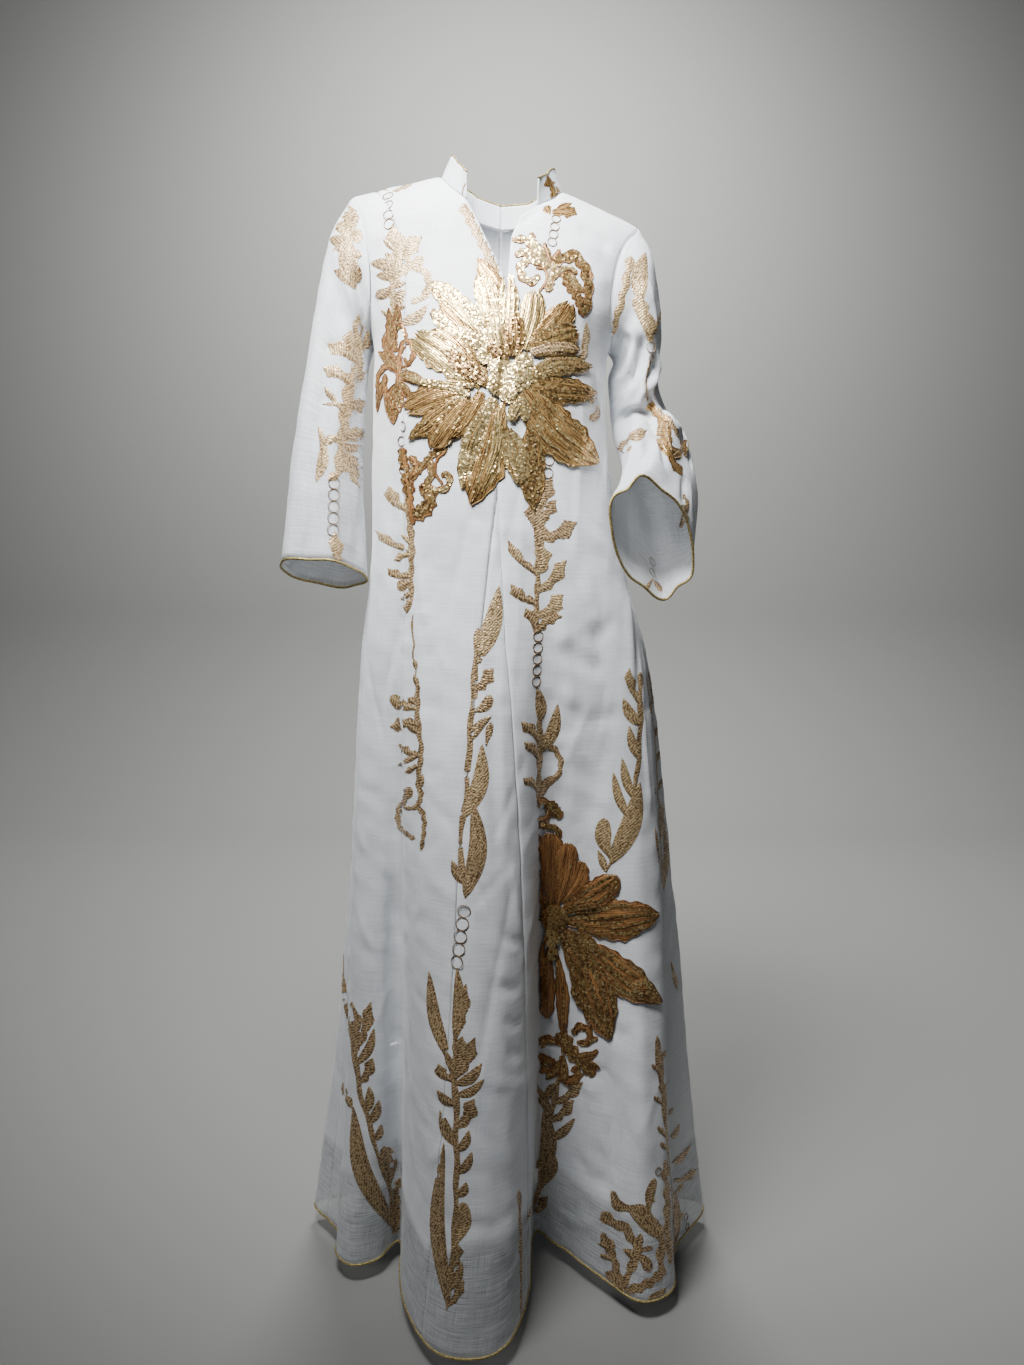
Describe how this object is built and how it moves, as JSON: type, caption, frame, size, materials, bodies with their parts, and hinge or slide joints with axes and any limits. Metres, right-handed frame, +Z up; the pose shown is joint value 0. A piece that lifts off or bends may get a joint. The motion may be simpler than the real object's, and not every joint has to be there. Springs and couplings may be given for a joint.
{
  "type": "kaftan maxi dress",
  "caption": "Long white kaftan dress with a split stand collar, bell sleeves, a front pleat, a rippled hem and gold sequinned flowers, hollow and open as worn.",
  "frame": {"origin": "middle of the neckline between the neck ends of the shoulder seams, where the wearer holds the dress up", "axes": "+Z up, -Y out of the front of the dress, +X to the wearer's left"},
  "size_m": [0.5922, 0.4687, 1.4883],
  "materials": {
    "white_cloth": "matt, slightly sheer linen-look weave",
    "white_lining": "matt, opaque",
    "gold_piping": "olive-gold metallic thread",
    "gold_sequins": "champagne and bronze sequins and embroidery"
  },
  "bodies": {
    "root": {"side_front_right": "white_cloth", "front_right": "white_cloth", "front_left": "white_cloth", "pleat_inset": "white_cloth", "back_left": "white_cloth", "back_right": "white_cloth", "sleeve_right": "white_cloth", "sleeve_left": "white_cloth", "collar_right": "white_cloth", "collar_left": "white_cloth", "lining": "white_lining", "hem_piping": "gold_piping", "cuff_piping_right": "gold_piping", "cuff_piping_left": "gold_piping", "collar_piping_right": "gold_piping", "collar_piping_left": "gold_piping", "chest_flower": "gold_sequins", "skirt_flower": "gold_sequins", "slit_band": "gold_sequins", "scroll_upper_outer": "gold_sequins", "scroll_upper_inner": "gold_sequins", "scroll_side": "gold_sequins", "scroll_lower": "gold_sequins", "leaf_lower": "gold_sequins"}
  },
  "joints": []
}
